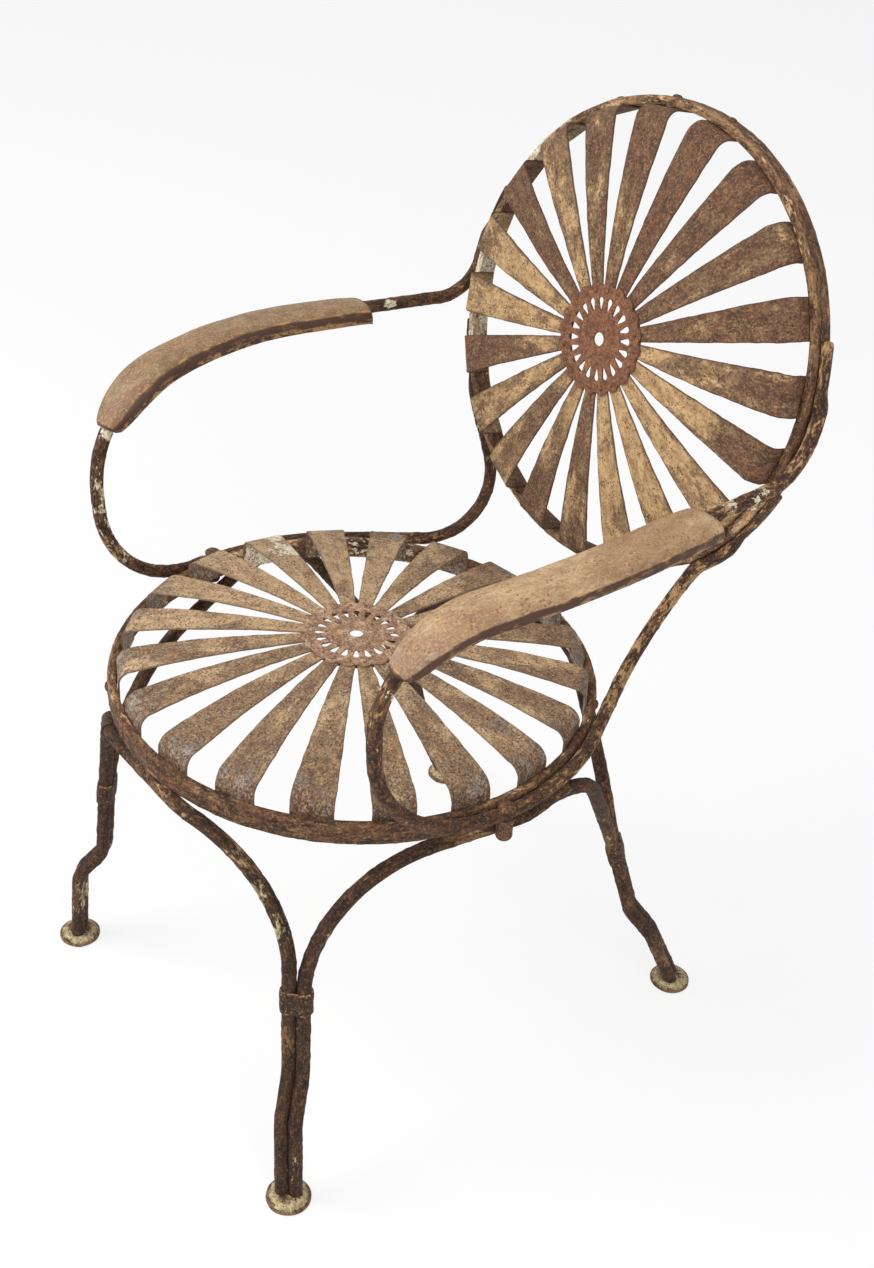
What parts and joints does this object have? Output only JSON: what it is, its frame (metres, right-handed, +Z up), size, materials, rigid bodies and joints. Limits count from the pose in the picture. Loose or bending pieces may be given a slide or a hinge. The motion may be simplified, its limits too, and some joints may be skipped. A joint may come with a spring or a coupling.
{
  "type": "garden armchair",
  "caption": "Round-seated garden armchair of bent round bar; sprung seat and back are each a fan of steel strips clamped by a pierced rosette and riveted inside a flat-bar ring",
  "frame": {"origin": "on the floor, under the middle of the chair's bounding box", "axes": "+Z up, the sitter faces -Y, +X is the sitter's left"},
  "size_m": [0.5272, 0.5674, 0.8524],
  "materials": {
    "round_bar": "dark rust under flaking cream paint",
    "ring_bar": "dark rust under flaking cream paint",
    "seat_strips": "worn tan and grey paint with rust specks",
    "back_strips": "worn ochre paint over brown rust",
    "rosette": "matt red-brown rust",
    "washer": "matt red-brown rust",
    "arm_pad": "smooth worn tan, rusty at the turned edges",
    "rivet": "dark rust",
    "foot": "worn yellowish cream paint, rusty rim",
    "collar": "dark rust",
    "bolt": "dark rust"
  },
  "bodies": {
    "root": {"arm_bar_left": "round_bar", "arm_bar_right": "round_bar", "arm_bolts": "bolt", "arm_pad_left": "arm_pad", "arm_pad_right": "arm_pad", "back_rim_rivets": "rivet", "back_ring": "ring_bar", "back_rosette": "rosette", "back_rosette_washer": "washer", "back_strip_01": "back_strips", "back_strip_02": "back_strips", "back_strip_03": "back_strips", "back_strip_04": "back_strips", "back_strip_05": "back_strips", "back_strip_06": "back_strips", "back_strip_07": "back_strips", "back_strip_08": "back_strips", "back_strip_09": "back_strips", "back_strip_10": "back_strips", "back_strip_11": "back_strips", "back_strip_12": "back_strips", "back_strip_13": "back_strips", "back_strip_14": "back_strips", "back_strip_15": "back_strips", "back_strip_16": "back_strips", "back_strip_17": "back_strips", "back_strip_18": "back_strips", "back_strip_19": "back_strips", "back_strip_20": "back_strips", "feet": "foot", "leg_arch_front": "round_bar", "leg_arch_left": "round_bar", "leg_arch_rear": "round_bar", "leg_arch_right": "round_bar", "leg_collars": "collar", "seat_rim_rivets": "rivet", "seat_ring": "ring_bar", "seat_rosette": "rosette", "seat_rosette_washer": "washer", "seat_strip_01": "seat_strips", "seat_strip_02": "seat_strips", "seat_strip_03": "seat_strips", "seat_strip_04": "seat_strips", "seat_strip_05": "seat_strips", "seat_strip_06": "seat_strips", "seat_strip_07": "seat_strips", "seat_strip_08": "seat_strips", "seat_strip_09": "seat_strips", "seat_strip_10": "seat_strips", "seat_strip_11": "seat_strips", "seat_strip_12": "seat_strips", "seat_strip_13": "seat_strips", "seat_strip_14": "seat_strips", "seat_strip_15": "seat_strips", "seat_strip_16": "seat_strips", "seat_strip_17": "seat_strips", "seat_strip_18": "seat_strips", "seat_strip_19": "seat_strips", "seat_strip_20": "seat_strips"}
  },
  "joints": []
}
